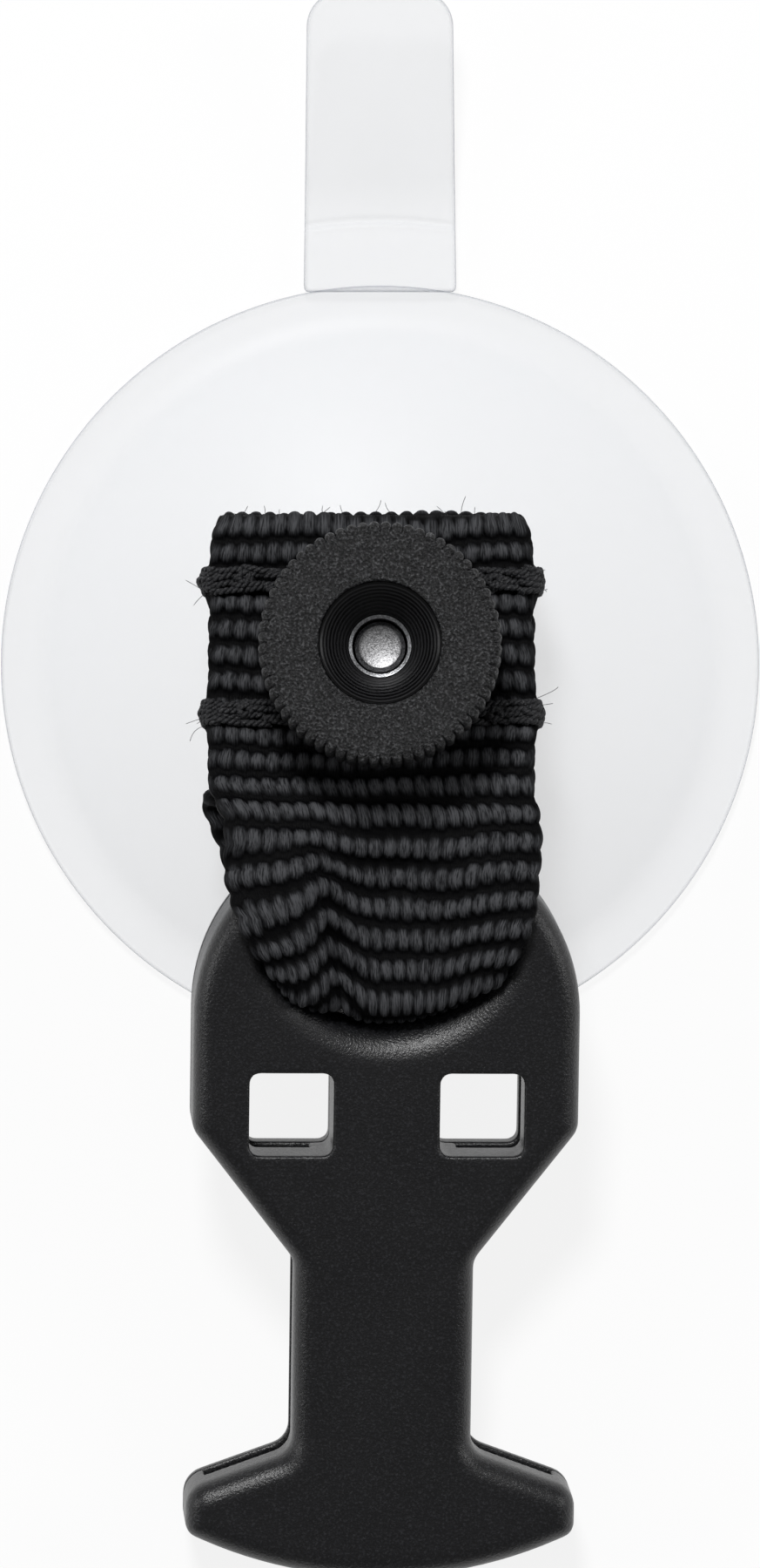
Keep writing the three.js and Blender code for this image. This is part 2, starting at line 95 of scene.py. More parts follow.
def tidyNormals(obj, mergeGap=0.002):
    # doubles merged, then all faces turned outwards
    selectOnly(obj)
    bpy.ops.object.mode_set(mode="EDIT")
    bpy.ops.mesh.select_all(action="SELECT")
    bpy.ops.mesh.remove_doubles(threshold=mergeGap * mm)
    bpy.ops.mesh.normals_make_consistent(inside=False)
    bpy.ops.object.mode_set(mode="OBJECT")


def shadeByAngle(obj, degrees):
    selectOnly(obj)
    bpy.ops.object.shade_smooth_by_angle(angle=math.radians(degrees))


def shadeSmooth(obj):
    selectOnly(obj)
    bpy.ops.object.shade_smooth()


def applyModifier(obj, kind, **settings):
    selectOnly(obj)
    modifier = obj.modifiers.new(kind.lower(), kind)
    for key, value in settings.items():
        setattr(modifier, key, value)
    bpy.ops.object.modifier_apply(modifier=modifier.name)


def cutAway(obj, cutter):
    applyModifier(obj, "BOOLEAN", operation="DIFFERENCE", object=cutter, solver="EXACT")
    bpy.data.objects.remove(cutter, do_unlink=True)


def softenByRemesh(obj, voxel, rounds):
    # even quads all over and slightly softened edges, as a moulding has
    applyModifier(obj, "REMESH", mode="VOXEL", voxel_size=voxel * mm, use_smooth_shade=True)
    applyModifier(obj, "SMOOTH", factor=0.5, iterations=rounds)


def finishPiece(obj, material, slotName, body, *nodes):
    obj.data.materials.clear()
    obj.data.materials.append(material)
    if body:
        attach(obj, body)
    if nodes:
        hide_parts(*nodes)
    print("piece", obj.name, len(obj.data.polygons), "faces")
    return obj


def newMaterial(name, **sockets):
    material = bpy.data.materials.new(name)
    material.use_nodes = True
    shader = material.node_tree.nodes["Principled BSDF"]
    for key, value in sockets.items():
        shader.inputs[key.replace("_", " ")].default_value = value
    return material, material.node_tree, shader


def addNode(tree, kind, sockets=None, **settings):
    node = tree.nodes.new(kind)
    for key, value in settings.items():
        setattr(node, key, value)
    for key, value in (sockets or {}).items():
        node.inputs[key].default_value = value
    return node


def objectCoords(tree):
    return addNode(tree, "ShaderNodeTexCoord").outputs["Object"]


def noise(tree, coords, perMetre, detail=3.0, roughness=0.6):
    node = addNode(tree, "ShaderNodeTexNoise", {"Scale": perMetre, "Detail": detail, "Roughness": roughness})
    tree.links.new(coords, node.inputs["Vector"])
    return node.outputs["Fac"]


def ramp(tree, value, *stops):
    node = addNode(tree, "ShaderNodeValToRGB")
    elements = node.color_ramp.elements
    while len(elements) < len(stops):
        elements.new(0.5)
    for element, (place, colour) in zip(elements, stops):
        element.position = place
        element.color = (*colour, 1)
    tree.links.new(value, node.inputs["Fac"])
    return node.outputs["Color"]


def spread(tree, value, low, high, fromLow=0.0, fromHigh=1.0):
    node = addNode(
        tree,
        "ShaderNodeMapRange",
        {"From Min": fromLow, "From Max": fromHigh, "To Min": low, "To Max": high},
    )
    tree.links.new(value, node.inputs["Value"])
    return node.outputs["Result"]


def combine(tree, first, second, operation="ADD"):
    # a sum, or a product, of two sockets or numbers
    node = addNode(tree, "ShaderNodeMath", operation=operation)
    for place, value in enumerate((first, second)):
        if isinstance(value, (int, float)):
            node.inputs[place].default_value = value
        else:
            tree.links.new(value, node.inputs[place])
    return node.outputs["Value"]


def bumpFrom(tree, shader, height, depth, strength=1.0):
    node = addNode(tree, "ShaderNodeBump", {"Strength": strength, "Distance": depth * mm})
    tree.links.new(height, node.inputs["Height"])
    tree.links.new(node.outputs["Normal"], shader.inputs["Normal"])


def grainedPlastic(name, dark, light, grain, depth, roughness, specular):
    # black nylon with a spark-eroded grain: small pits and bright crowns
    material, tree, shader = newMaterial(name, Specular_IOR_Level=specular)
    coords = objectCoords(tree)
    fine = noise(tree, coords, 1 / (grain * mm), 2.0, 0.65)
    broad = noise(tree, coords, 140.0, 3.0)
    middle = tuple(a * 0.78 + b * 0.22 for a, b in zip(dark, light))
    colour = ramp(tree, fine, (0.38, dark), (0.55, middle), (0.7, light))
    tree.links.new(colour, shader.inputs["Base Color"])
    patches = spread(tree, broad, roughness - 0.06, roughness + 0.06)
    rough = combine(tree, patches, spread(tree, fine, 0.1, -0.1))
    tree.links.new(rough, shader.inputs["Roughness"])
    bumpFrom(tree, shader, fine, depth)
    return material


def clearPlastic():
    # soft clear PVC: faint haze and small flow lines, and a painted dark rim where the surface turns away from
    # the view
    material, tree, shader = newMaterial("clear_soft_pvc", Specular_IOR_Level=0.25, IOR=1.5)
    coords = objectCoords(tree)
    haze = noise(tree, coords, 60.0, 4.0)
    flow = noise(tree, coords, 420.0, 2.0)
    edge = addNode(tree, "ShaderNodeLayerWeight", {"Blend": 0.32})
    colour = ramp(tree, haze, (0.3, (0.66, 0.68, 0.72)), (0.7, (0.70, 0.72, 0.76)))
    # painted shade: the colour is multiplied darker towards grazing view, a painted dark rim at the edges;
    # thick names this darkening, not a thickness
    thick = addNode(tree, "ShaderNodeMix", data_type="RGBA", blend_type="MULTIPLY")
    thick.inputs["B"].default_value = (0.42, 0.44, 0.48, 1)
    tree.links.new(spread(tree, edge.outputs["Facing"], 0.0, 1.0, 0.35, 0.95), thick.inputs["Factor"])
    tree.links.new(colour, thick.inputs["A"])
    tree.links.new(thick.outputs["Result"], shader.inputs["Base Color"])
    tree.links.new(spread(tree, haze, 0.32, 0.42), shader.inputs["Roughness"])
    body = spread(tree, edge.outputs["Facing"], 0.15, 0.9)
    tree.links.new(combine(tree, body, spread(tree, haze, -0.03, 0.03)), shader.inputs["Alpha"])
    bumpFrom(tree, shader, flow, 0.012, 0.6)
    return material


def turnedRings(tree, coords, pitch, sockets):
    # rings about the stud, pitch millimetres apart
    shifted = addNode(tree, "ShaderNodeMapping", {"Location": (-studX * mm, -studY * mm, 0)})
    tree.links.new(coords, shifted.inputs["Vector"])
    scale = 2 * math.pi / (20 * pitch * mm)
    wave = addNode(
        tree,
        "ShaderNodeTexWave",
        {"Scale": scale, **sockets},
        wave_type="RINGS",
        rings_direction="Z",
    )
    tree.links.new(shifted.outputs["Vector"], wave.inputs["Vector"])
    return wave.outputs["Fac"]


def turnedSteel(name, colour, roughness, ringPitch):
    # zinc-plated steel with faint turning rings and a sandy end
    material, tree, shader = newMaterial(name, Metallic=1.0)
    coords = objectCoords(tree)
    rings = turnedRings(tree, coords, ringPitch, {"Distortion": 0.6, "Detail": 2.0, "Detail Scale": 3.0})
    sand = noise(tree, coords, 6500.0, 2.0, 0.7)
    shade = ramp(tree, sand, (0.36, tuple(c * 0.4 for c in colour)), (0.66, colour))
    tree.links.new(shade, shader.inputs["Base Color"])
    tree.links.new(spread(tree, sand, roughness - 0.08, roughness + 0.14), shader.inputs["Roughness"])
    height = combine(tree, spread(tree, rings, 0, 0.07), spread(tree, sand, 0, 1.0))
    bumpFrom(tree, shader, height, 0.02)
    return material


def ringedNylon():
    # glossy black nylon in the recess, with faint turned rings
    material, tree, shader = newMaterial("ringed_recess_nylon", Specular_IOR_Level=0.28)
    wobble = {"Distortion": 1.2, "Detail": 3.0, "Detail Scale": 1.5, "Detail Roughness": 0.7}
    rings = turnedRings(tree, objectCoords(tree), 0.24, wobble)
    colour = ramp(tree, rings, (0.45, (0.0006, 0.0006, 0.0008)), (0.95, (0.018, 0.018, 0.0195)))
    tree.links.new(colour, shader.inputs["Base Color"])
    tree.links.new(spread(tree, rings, 0.28, 0.42), shader.inputs["Roughness"])
    bumpFrom(tree, shader, rings, 0.012)
    return material


def blackWebbing():
    # polyester yarn: fine filaments along the strap, with painted shade between the ribs and a painted sheen
    # along the filaments
    material, tree, shader = newMaterial("black_webbing", Specular_IOR_Level=0.07)
    uv = addNode(tree, "ShaderNodeUVMap", uv_map="strap")
    stretched = addNode(tree, "ShaderNodeMapping", {"Scale": (1.0, 0.13, 1.0)})
    tree.links.new(uv.outputs["UV"], stretched.inputs["Vector"])
    filaments = noise(tree, stretched.outputs["Vector"], 8.0, 2.0, 0.6)
    # relief is the height of the woven floats; the colour uses it to darken towards the gaps, which is painted
    # shade
    relief = addNode(tree, "ShaderNodeAttribute", attribute_name="relief").outputs["Fac"]
    broad = noise(tree, uv.outputs["UV"], 0.35, 2.0)
    # the filaments scale the colour up and down along the strap as a painted sheen; the broad noise is random
    # tone
    lit = combine(tree, relief, spread(tree, filaments, 0.35, 1.55, 0.3, 0.7), "MULTIPLY")
    lit = combine(tree, lit, spread(tree, broad, 0.75, 1.2), "MULTIPLY")
    stops = (
        (0.1, (0.0006, 0.0006, 0.0009)),
        (0.42, (0.014, 0.0144, 0.016)),
        (0.95, (0.066, 0.0675, 0.0725)),
    )
    colour = ramp(tree, lit, *stops)
    tree.links.new(colour, shader.inputs["Base Color"])
    tree.links.new(spread(tree, filaments, 0.5, 0.8), shader.inputs["Roughness"])
    bumpFrom(tree, shader, filaments, 0.09)
    return material


def blackThread():
    material, tree, shader = newMaterial("black_thread", Specular_IOR_Level=0.25)
    coords = objectCoords(tree)
    fine = noise(tree, coords, 7000.0, 3.0, 0.7)
    stops = (
        (0.34, (0.004, 0.004, 0.005)),
        (0.56, (0.022, 0.0224, 0.0245)),
        (0.72, (0.1, 0.101, 0.106)),
    )
    colour = ramp(tree, fine, *stops)
    tree.links.new(colour, shader.inputs["Base Color"])
    tree.links.new(spread(tree, fine, 0.45, 0.75), shader.inputs["Roughness"])
    bumpFrom(tree, shader, fine, 0.05)
    return material


clipFinish = dict(
    dark=(0.0022, 0.0022, 0.0028),
    light=(0.021, 0.0214, 0.024),
    grain=0.2,
    depth=0.05,
    roughness=0.36,
    specular=0.5,
)
nutFinish = dict(
    dark=(0.001, 0.001, 0.0013),
    light=(0.075, 0.076, 0.08),
    grain=0.2,
    depth=0.2,
    roughness=0.4,
    specular=0.24,
)

pvc = clearPlastic()
clipPlastic = grainedPlastic("grained_clip_nylon", **clipFinish)
nutPlastic = grainedPlastic("grained_nut_nylon", **nutFinish)
recessPlastic = ringedNylon()
studSteel = turnedSteel("stud_steel", (0.46, 0.46, 0.47), 0.42, 0.3)
insertSteel = turnedSteel("insert_steel", (0.56, 0.57, 0.59), 0.34, 0.2)
webMaterial = blackWebbing()
threadMaterial = blackThread()
print("materials made")


def spun(name, profile, segments, radiusAt=None):
    # piece of revolution about the stud from [radius, height] points
    # radiusAt may change a radius by angle
    rings = len(profile)
    angles = np.linspace(0, 2 * math.pi, segments, endpoint=False)
    points = np.zeros((rings, segments, 3))
    for k, (r, z) in enumerate(profile):
        radii = np.full(segments, float(r)) if radiusAt is None else radiusAt(r, z, angles)
        points[k, :, 0] = studX + radii * np.cos(angles)
        points[k, :, 1] = studY + radii * np.sin(angles)
        points[k, :, 2] = z
    faces = []
    closed = profile[0] == profile[-1]
    for k in range(rings - 1):
        if profile[k][0] == 0 and profile[k + 1][0] == 0:
            continue
        near = k * segments
        far = 0 if closed and k == rings - 2 else near + segments
        for i in range(segments):
            j = (i + 1) % segments
            faces.append((near + i, near + j, far + j, far + i))
    obj = pieceFrom(name, points.reshape(-1, 3), faces)
    tidyNormals(obj)
    return obj


def roundCorner(before, corner, after, radius, steps=5):
    # points of a rounded corner in a profile
    a, c, b = (np.array(p, float) for p in (before, corner, after))
    u = (a - c) / np.linalg.norm(a - c)
    v = (b - c) / np.linalg.norm(b - c)
    half = math.acos(max(-1, min(1, float(u @ v)))) / 2
    back = radius / math.tan(half)
    start, end = c + u * back, c + v * back
    centre = c + (u + v) / np.linalg.norm(u + v) * radius / math.sin(half)
    out = []
    for i in range(steps + 1):
        f = i / steps
        p = start * (1 - f) + end * f
        p = centre + (p - centre) / np.linalg.norm(p - centre) * radius
        out.append((float(p[0]), float(p[1])))
    return out


def smoothProfile(corners):
    # profile through [radius, height, rounding] corners
    points = []
    for i, (r, z, rounding) in enumerate(corners):
        if rounding and 0 < i < len(corners) - 1:
            points += roundCorner(corners[i - 1][:2], (r, z), corners[i + 1][:2], rounding)
        else:
            points.append((r, z))
    return points


cup = dict(
    radius=30.0,
    seal=27.0,
    lip=1.1,
    root=2.6,
    cavity=6.0,
    boss=8.5,
    bossCorner=0.7,
    fillet=0.9,
    hole=(2.15, 1.6),
    rim=0.32,
    segments=192,
)


def makeCup():
    c = cup
    inner = [(c["seal"] * i / 24, c["cavity"] * (1 - (i / 24) ** 2)) for i in range(25)]
    wall = lambda r: c["lip"] + (c["root"] - c["lip"]) * (1 - r / c["radius"])
    under = lambda r: c["cavity"] * max(0.0, 1 - (r / c["seal"]) ** 2)
    outer = []
    for i in range(25):
        r = c["radius"] - 0.3 + (c["boss"] + c["fillet"] - c["radius"]) * i / 24
        outer.append((r, under(r) + wall(r)))
    low, edge, high = (c["radius"], 0), (c["radius"], c["lip"]), (c["seal"], c["lip"] + 0.14)
    rim = roundCorner((c["seal"], 0), low, edge, c["rim"]) + roundCorner(low, edge, high, c["rim"])
    top = cupTopHeight
    foot = outer[-1][1]
    boss = []
    for a in np.linspace(0.2, 1.57, 6):
        r = c["boss"] + c["fillet"] - c["fillet"] * math.sin(a)
        boss.append((r, foot + c["fillet"] * (1 - math.cos(a))))
    boss += roundCorner((c["boss"], foot), (c["boss"], top), (0, top), c["bossCorner"])
    bore, deep = c["hole"]
    hole = [(bore, top), (bore, top - deep), (0, top - deep)]
    profile = inner + rim + outer[1:] + boss + hole
    obj = spun("cup_body", profile, cup["segments"])
    shadeByAngle(obj, 30)
    finishPiece(obj, pvc, "clear_pvc", "cup", "suction_cup")
    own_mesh(obj)
    return obj


tab = dict(
    root=12.1,
    tip=11.5,
    reach=22.4,
    thick=1.35,
    corner=2.8,
    flat=4.6,
    bend=12.0,
    rise=math.radians(18),
    crease=dict(out=5.2, wide=0.3, deep=0.26),
)


def makeTab():
    t = tab
    rootY = cup["radius"] - 0.5
    tipY = cup["radius"] + t["reach"] + 1.15
    corners = [
        (-t["tip"] / 2, tipY, t["corner"]),
        (-t["root"] / 2, rootY, 0),
        (t["root"] / 2, rootY, 0),
        (t["tip"] / 2, tipY, t["corner"]),
    ]
    outline = []
    for i, (x, y, r) in enumerate(corners):
        before, after = corners[i - 1][:2], corners[(i + 1) % 4][:2]
        outline += roundCorner(before, (x, y), after, r, 10) if r else [(x, y)]
    count = len(outline)
    low = [(x, y, 0.0) for x, y in outline]
    high = [(x, y, t["thick"]) for x, y in outline]
    faces = [tuple(range(count))[::-1], tuple(range(count, 2 * count))]
    faces += [(i, (i + 1) % count, (i + 1) % count + count, i + count) for i in range(count)]
    obj = pieceFrom("tab_strip", low + high, faces)
    tidyNormals(obj)
    applyModifier(obj, "BEVEL", width=0.28 * mm, segments=3, limit_method="ANGLE", angle_limit=math.radians(50))
    softenByRemesh(obj, 0.18, 8)
    bendStart = cup["radius"] + t["flat"]
    arcLength = t["bend"] * t["rise"]
    for vertex in obj.data.vertices:
        x, y, z = (c / mm for c in vertex.co)
        over = y - bendStart
        angle = 0.0 if over <= 0 else min(over / t["bend"], t["rise"])
        beyond = max(0.0, over - arcLength)
        offset = z - t["thick"] / 2
        # the middle line runs flat, then along the bend, then straight up the rise
        lineY = bendStart + t["bend"] * math.sin(angle) + beyond * math.cos(angle) if over > 0 else y
        lineZ = t["bend"] * (1 - math.cos(angle)) + beyond * math.sin(angle) if over > 0 else 0.0
        crease = 0.0
        if z > 0.6:
            off = math.hypot(x, y) - cup["radius"] - t["crease"]["out"]
            crease = t["crease"]["deep"] * math.exp(-((off / t["crease"]["wide"]) ** 2))
        newY = lineY - offset * math.sin(angle)
        newZ = lineZ + (offset - crease) * math.cos(angle) + t["thick"] / 2 + 0.1
        vertex.co = (studX * mm + x * mm, (studY + newY) * mm, newZ * mm)
    obj.data.update()
    shadeSmooth(obj)
    obj = finishPiece(obj, pvc, "clear_pvc", None, "pull_tab")
    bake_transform(obj)
    return obj


makeCup()
makeTab()
print("cup and tab made")


stud = dict(radius=1.95, chamfer=0.32, dish=0.16, threads=12, pitch=0.7, threadDepth=0.3)


def makeStud():
    d = stud
    radius = d["radius"]
    flat = radius - d["chamfer"]
    profile = [(flat * i / 8, studEnd - 0.02 - d["dish"] * (1 - (i / 8) ** 2)) for i in range(8)]
    profile += [(flat - 0.02, studEnd - 0.01), (flat, studEnd), (radius, studEnd - d["chamfer"])]
    for i in range(d["threads"]):
        top = studEnd - d["chamfer"] - 0.15 - i * d["pitch"]
        valley = (radius - d["threadDepth"], top - d["pitch"] * 0.45)
        profile += [(radius, top), valley, (radius, top - d["pitch"] * 0.9)]
    profile += [(radius, cupTopHeight - 1), (0, cupTopHeight - 1)]
    obj = spun("stud_end", profile, 96)
    shadeByAngle(obj, 18)
    return finishPiece(obj, studSteel, "zinc_steel", "stud", "stud")


nut = dict(
    radius=9.35,
    teeth=64,
    tooth=0.5,
    recess=4.68,
    recessDepth=4.4,
    bore=3.2,
    collar=4.3,
    collarHeight=1.5,
    segments=64 * 12,
)
recessFunnel = dict(depth=4.0, mouth=2.5, steps=14)


def toothShape(angles):
    # 0 at a tooth's crown and 1 in the groove beside it
    phase = (angles * nut["teeth"] / (2 * math.pi)) % 1.0
    return 1 - np.sqrt(np.clip(1 - (2 * np.abs(phase - 0.5)) ** 2 * 0.96, 0, 1))


def makeNut():
    n = nut
    r = n["radius"]
    toothBand = (r - n["tooth"] - 0.35, nutBase + n["collarHeight"] - 0.01)

    def radiusAt(radius, z, angles):
        weight = max(0.0, min(1.0, (radius - toothBand[0]) / 0.35)) if z >= toothBand[1] else 0.0
        return radius - weight * n["tooth"] * toothShape(angles)

    top, base = nutTop, nutBase + n["collarHeight"]
    rim = [(r - 0.8, base), (r - 0.35, base + 0.05), (r - 0.05, base + 0.4)]
    rim += [(r, base + 0.9 + i * (top - base - 1.6) / 4) for i in range(5)]
    rim += [(r - 0.03, top - 0.42), (r - 0.12, top - 0.22), (r - 0.28, top - 0.08)]
    rim += [(r - 0.5, top - 0.015), (r - 0.8, top)]
    rim += [(r - 1.6, top), (r - 2.6, top), (n["recess"] + 1.2, top), (n["recess"] + 0.32, top)]
    lip = roundCorner((n["recess"] + 1, top), (n["recess"] + 0.04, top), (n["recess"], top - 1), 0.2, 4)
    collar = [(n["bore"], nutBase), (n["collar"], nutBase), (n["collar"], base)]
    floorZ = top - n["recessDepth"]
    profile = [(n["bore"], floorZ)] + collar + rim + lip + [(n["recess"], floorZ), (n["bore"], floorZ)]
    obj = spun("nut_body", profile, n["segments"], radiusAt)
    shadeByAngle(obj, 40)
    finishPiece(obj, nutPlastic, "satin_nylon", "nut", "thumb_nut")

    # the moulded funnel inside the recess, with its fine steps
    f = recessFunnel
    wide = n["recess"] - 0.02
    steps = []
    for i in range(f["steps"]):
        share = i / (f["steps"] - 1)
        radius = wide + (f["mouth"] - wide) * share
        depth = 0.18 + f["depth"] * (0.28 * share + 0.72 * share * share) * 0.95
        steps += [(radius, top - depth), (radius - 0.03, top - depth - 0.035)]
    front = [(wide, top - 0.12)] + steps + [(f["mouth"] - 0.1, top - f["depth"] - 0.05)]
    back = [(3.1, top - f["depth"] - 0.3), (wide, top - 2.4), (wide, top - 0.12)]
    obj = spun("nut_funnel", front + back, 160)
    shadeByAngle(obj, 25)
    return finishPiece(obj, recessPlastic, "satin_nylon", "nut")


insert = dict(bore=2.1, outer=3.1, mouth=2.55, throat=2.14, below=4.06)


def makeInsert():
    d = insert
    top = nutTop - d["below"]
    outline = [
        (d["bore"], nutBase, 0),
        (d["outer"], nutBase, 0),
        (d["outer"], top - 0.1, 0.05),
        (d["mouth"], top, 0.03),
        (d["throat"], top - 0.17, 0.03),
        (d["bore"], nutBase, 0),
    ]
    profile = smoothProfile(outline)
    obj = spun("nut_bush", profile, 128)
    shadeByAngle(obj, 30)
    return finishPiece(obj, insertSteel, "zinc_steel", "insert", "nut_insert")


makeStud()
makeNut()
makeInsert()
print("stud and nut made")


clip = dict(
    half=4.0,
    rear=1.85,
    arch=(0.4, -28.3, 12.8154),
    droop=math.radians(11.5),
    roll=math.radians(3.5),
    skew=math.radians(-0.8),
)
slotShape = dict(centre=9.0, radius=7.2, half=2.0, angle=math.radians(62), flare=3.0, rearFlare=1.2)
saddleShape = dict(v=11.0, halfWidth=12.0, halfLength=13.7, depth=3.0)
windowShape = dict(size=6.5, radius=0.75, u=7.4, v=-7.0)

clipTurn = (
    Matrix.Rotation(clip["droop"], 4, "X")
    @ Matrix.Rotation(clip["roll"], 4, "Y")
    @ Matrix.Rotation(clip["skew"], 4, "Z")
)
clipPlace = Matrix.Translation((studX + clip["arch"][0], studY + clip["arch"][1], clip["arch"][2])) @ clipTurn
clipArray = np.array(clipPlace)


def onClip(points):
    points = np.asarray(points, float)
    return points @ clipArray[:3, :3].T + clipArray[:3, 3]


def roundedOutline(corners, inset=0.0):
    # outline through [x, y, radius, steps] corners, counter-clockwise, moved inwards by inset
    out = []
    count = len(corners)
    for i in range(count):
        before, here, after = (np.array(corners[k % count][:2], float) for k in (i - 1, i, i + 1))
        radius, steps = corners[i][2], corners[i][3]
        d0 = (here - before) / np.linalg.norm(here - before)
        d1 = (after - here) / np.linalg.norm(after - here)
        turn = math.atan2(d0[0] * d1[1] - d0[1] * d1[0], float(d0 @ d1))
        n0, n1 = np.array([-d0[1], d0[0]]), np.array([-d1[1], d1[0]])
        tip = here + (n0 + n1) * inset / (1 + float(n0 @ n1))
        convex = turn > 0
        r = max(radius + (-inset if convex else inset), 0.05)
        back = r * math.tan(abs(turn) / 2)
        centre = tip - d0 * back + n0 * (r if convex else -r)
        start = math.atan2(-n0[1], -n0[0]) if convex else math.atan2(n0[1], n0[0])
        for k in range(steps + 1):
            a = start + turn * k / steps
            out.append((centre[0] + r * math.cos(a), centre[1] + r * math.sin(a)))
    return out


rightSide = [
    (15.2, -40.4, 1.2, 8),
    (15.2, -36.9, 2.0, 8),
    (7.0, -33.9, 1.8, 8),
    (7.0, -18.7, 1.8, 8),
    (15.0, -8.4, 1.8, 8),
    (15.0, 15.0, 14.4, 28),
]
leftSide = [(-u, v, r, n) for u, v, r, n in reversed(rightSide)]
clipCorners = [(0, -47.2, 34, 24)] + rightSide + leftSide


def loftPiece(name, levels):
    # closed piece through outlines of one count of points: [(outline, height), ...], in the clip's own frame
    count = len(levels[0][0])
    points = [(x, y, w) for outline, w in levels for x, y in outline]
    faces = []
    for k in range(len(levels) - 1):
        for i in range(count):
            j = (i + 1) % count
            faces.append((k * count + i, k * count + j, (k + 1) * count + j, (k + 1) * count + i))
    last = (len(levels) - 1) * count
    faces.append(tuple(range(count))[::-1])
    faces.append(tuple(last + i for i in range(count)))
    obj = pieceFrom(name, points, faces)
    tidyNormals(obj, 0.0005)
    return obj


def roundedLevels(rounding, baseW, faceW, steps=8):
    towards = 1 if faceW > baseW else -1
    levels = [(roundedOutline(clipCorners), baseW)]
    for i in range(steps + 1):
        below = rounding * (1 - math.sin(i / steps * math.pi / 2))
        inset = rounding - math.sqrt(max(0, rounding**2 - (rounding - below) ** 2))
        levels.append((roundedOutline(clipCorners, inset), faceW - towards * below))
    return levels if towards > 0 else levels[::-1]


def boxPiece(name, u0, u1, v0, v1, w0, w1):
    return loftPiece(name, [([(u0, v0), (u1, v0), (u1, v1), (u0, v1)], w) for w in (w0, w1)])


def slotOutline(grow):
    s = slotShape
    width = s["half"] + grow
    down = -math.pi / 2
    a0, a1 = down - s["angle"], down + s["angle"]

    def arc(cx, cy, r, start, end, steps):
        turns = [start + (end - start) * k / steps for k in range(steps + 1)]
        return [(cx + r * math.cos(a), cy + r * math.sin(a)) for a in turns]

    def ends(a):
        return s["radius"] * math.cos(a), s["centre"] + s["radius"] * math.sin(a)

    out = arc(0, s["centre"], s["radius"] + width, a0, a1, 28)
    out += arc(*ends(a1), width, a1, a1 + math.pi, 14)[1:-1]
    out += arc(0, s["centre"], s["radius"] - width, a1, a0, 28)
    out += arc(*ends(a0), width, a0 + math.pi, a0 + 2 * math.pi, 14)[1:-1]
    return out


def slotCutter():
    s, half = slotShape, clip["half"]
    levels = [(slotOutline(s["rearFlare"]), -half - 1), (slotOutline(s["rearFlare"]), -half)]
    for i in range(1, 5):
        a = i / 4 * math.pi / 2
        grow = s["rearFlare"] * (1 - math.sin(a))
        levels.append((slotOutline(grow), -half + s["rearFlare"] * (1 - math.cos(a))))
    for i in range(11):
        a = i / 10 * math.pi / 2
        levels.append((slotOutline(s["flare"] * (1 - math.cos(a))), half - s["flare"] * (1 - math.sin(a))))
    levels.append((slotOutline(s["flare"]), half + 1))
    return loftPiece("slot_cutter", levels)


def saddleDepthAt(u, v):
    s = saddleShape
    r = np.hypot(np.asarray(u) / s["halfWidth"], (np.asarray(v) - s["v"]) / s["halfLength"])
    return np.where(r < 1, s["depth"] * (1 + np.cos(np.pi * np.minimum(r, 1))) / 2, 0.0)


def saddleCutter():
    s = saddleShape
    steps, segments = 24, 120
    angles = np.linspace(0, 2 * math.pi, segments, endpoint=False)
    levels = []
    for i in range(steps + 1):
        f = 0.02 + 0.98 * i / steps
        reachU, reachV = s["halfWidth"] * f, s["halfLength"] * f
        outline = [(reachU * math.cos(a), s["v"] + reachV * math.sin(a)) for a in angles]
        levels.append((outline, clip["half"] - s["depth"] * (1 + math.cos(math.pi * f)) / 2))
    levels.append((levels[-1][0], clip["half"] + 1))
    return loftPiece("saddle_cutter", levels)


def windowCutter(side):
    w = windowShape
    half = w["size"] / 2
    around = ((-1, -1), (1, -1), (1, 1), (-1, 1))
    corners = [(side * w["u"] + x * half, w["v"] + y * half, w["radius"], 6) for x, y in around]
    return loftPiece("window_cutter", [(roundedOutline(corners), -9.0), (roundedOutline(corners), 9.0)])


def placeOnClip(obj):
    obj.data.transform(Matrix.Scale(1 / mm, 4))
    obj.data.transform(clipPlace)
    obj.data.transform(Matrix.Scale(mm, 4))
    obj.data.update()


groove = dict(core=6.6, neck=(-33.6, -12.6), reach=13.6, wing=(-38.1, -33.0), height=2.0, around=1.3)


def makeFrontShell():
    half = clip["half"]
    base = -half + clip["rear"] + 0.1
    g = groove
    w = windowShape
    floorW, roofW = base - 1, base + g["height"]
    obj = loftPiece("clip_front", roundedLevels(1.8, base, half))
    for side in (1, -1):
        near, far = sorted((side * g["core"], side * 20.0))
        cutAway(obj, boxPiece("groove_cutter", near, far, *g["neck"], floorW, roofW))
        near, far = sorted((side * g["core"], side * g["reach"]))
        cutAway(obj, boxPiece("wing_cutter", near, far, *g["wing"], floorW, roofW))
        inside = side * (w["u"] - w["size"] / 2 + 1.6)
        outside = side * (w["u"] + w["size"] / 2 + g["around"])
        near, far = sorted((inside, outside))
        low = w["v"] - w["size"] / 2 - 3.0
        high = w["v"] + w["size"] / 2 + 0.6
        cutAway(obj, boxPiece("window_groove_cutter", near, far, low, high, floorW, roofW))
        cutAway(obj, windowCutter(side))
    cutAway(obj, slotCutter())
    cutAway(obj, saddleCutter())
    softenByRemesh(obj, 0.22, 3)
    placeOnClip(obj)
    shadeSmooth(obj)
    return finishPiece(obj, clipPlastic, "grained_nylon", "clip", "clip_front_shell")


def makeRearPlate():
    half = clip["half"]
    obj = loftPiece("clip_rear", roundedLevels(1.2, -half + clip["rear"], -half))
    for side in (1, -1):
        cutAway(obj, windowCutter(side))
    cutAway(obj, slotCutter())
    softenByRemesh(obj, 0.2, 3)
    placeOnClip(obj)
    shadeSmooth(obj)
    return finishPiece(obj, clipPlastic, "grained_nylon", "clip", "clip_rear_plate")


makeFrontShell()
makeRearPlate()
print("clip made")


